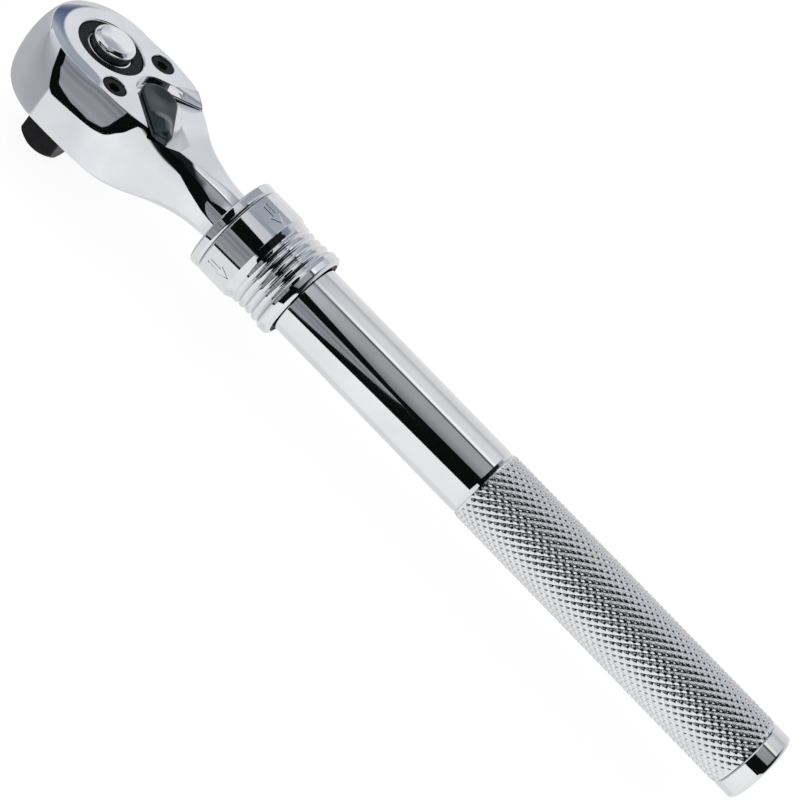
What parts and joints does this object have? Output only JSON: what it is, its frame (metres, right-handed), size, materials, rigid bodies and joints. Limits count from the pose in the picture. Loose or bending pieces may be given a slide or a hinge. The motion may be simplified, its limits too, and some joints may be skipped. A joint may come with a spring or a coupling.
{
  "type": "ratchet wrench",
  "caption": "Extending ratchet wrench with a pear-shaped head, square drive, release button, reversing lever, sliding lock collar and knurled round handle.",
  "frame": {"origin": "centre of the drive square's end face", "axes": "+X along the handle away from the head, +Z out of the face with the lever and button"},
  "size_m": [0.2263, 0.0368, 0.0337],
  "materials": {
    "polished_chrome": "mirror-polished chrome plate over forged steel",
    "handle_chrome": "chrome plate, smooth front half and diamond-knurled grip",
    "collar_chrome": "chrome plate, turned finish",
    "black_oxide": "satin black oxide",
    "gunmetal": "semi-gloss dark gunmetal",
    "spring_steel": "drawn wire, oiled",
    "hardened_steel": "ground hardened steel",
    "bush_bronze": "sintered bronze",
    "wiper_rubber": "black nitrile rubber"
  },
  "bodies": {
    "head": {"ratchet_body": "polished_chrome", "cover_plate": "polished_chrome", "cover_screws": "black_oxide", "stop_washer": "hardened_steel", "stop_screw": "hardened_steel"},
    "spindle": {"drive_gear": "black_oxide", "wave_washer": "spring_steel", "button_spring": "spring_steel"},
    "release": {"release_button": "polished_chrome", "release_pin": "hardened_steel"},
    "detent": {"detent_ball": "hardened_steel"},
    "reverser": {"reversing_lever": "gunmetal", "pawl_plunger": "hardened_steel", "plunger_spring": "spring_steel"},
    "pawl": {"pawl": "hardened_steel"},
    "handle": {"handle_tube": "handle_chrome", "guide_bush": "bush_bronze", "end_plug": "handle_chrome", "front_cap": "collar_chrome", "wiper_ring": "wiper_rubber", "spring_seat": "black_oxide", "collar_spring": "spring_steel"},
    "collar": {"lock_collar": "collar_chrome"},
    "lock_ball_1": {"lock_ball_1": "hardened_steel"},
    "lock_ball_2": {"lock_ball_2": "hardened_steel"},
    "lock_ball_3": {"lock_ball_3": "hardened_steel"}
  },
  "joints": [
    {"name": "drive_spin", "type": "hinge", "parent": "head", "child": "spindle", "pos_m": [0, 0, 0], "axis": [0, 0, 1], "continuous": true},
    {"name": "button_press", "type": "slide", "parent": "spindle", "child": "release", "axis": [0, 0, -1], "range_m": [0, 0.0024], "stiffness_N_per_m": 900, "springref_m": -0.003, "deforming": ["button_spring"]},
    {"name": "detent_slide", "type": "slide", "parent": "spindle", "child": "detent", "axis": [0, -1, 0], "range_m": [0, 0.00087]},
    {"name": "lever_throw", "type": "hinge", "parent": "head", "child": "reverser", "pos_m": [0.0155, 0, 0], "axis": [0, 0, 1], "range_deg": [0, 97.2]},
    {"name": "pawl_shift", "type": "hinge", "parent": "head", "child": "pawl", "pos_m": [0, 0, 0], "axis": [0, 0, 1], "range_deg": [-15.1, 0]},
    {"name": "handle_extend", "type": "slide", "parent": "head", "child": "handle", "axis": [1, 0, 0], "range_m": [0, 0.088]},
    {"name": "collar_slide", "type": "slide", "parent": "handle", "child": "collar", "axis": [1, 0, 0], "range_m": [0, 0.005], "stiffness_N_per_m": 1200, "springref_m": -0.004, "deforming": ["collar_spring"]},
    {"name": "lock_ball_lift_1", "type": "slide", "parent": "handle", "child": "lock_ball_1", "axis": [0, 0, 1], "range_m": [0, 0.00091]},
    {"name": "lock_ball_lift_2", "type": "slide", "parent": "handle", "child": "lock_ball_2", "axis": [0, -0.866, -0.5], "range_m": [0, 0.00091]},
    {"name": "lock_ball_lift_3", "type": "slide", "parent": "handle", "child": "lock_ball_3", "axis": [0, 0.866, -0.5], "range_m": [0, 0.00091]}
  ],
  "couplings": [
    {"joint": "detent_slide", "follows": "button_press", "ratio": 0.358},
    {"joint": "pawl_shift", "follows": "lever_throw", "ratio": -0.1543},
    {"joint": "lock_ball_lift_1", "follows": "collar_slide", "ratio": 0.18},
    {"joint": "lock_ball_lift_2", "follows": "collar_slide", "ratio": 0.18},
    {"joint": "lock_ball_lift_3", "follows": "collar_slide", "ratio": 0.18}
  ]
}
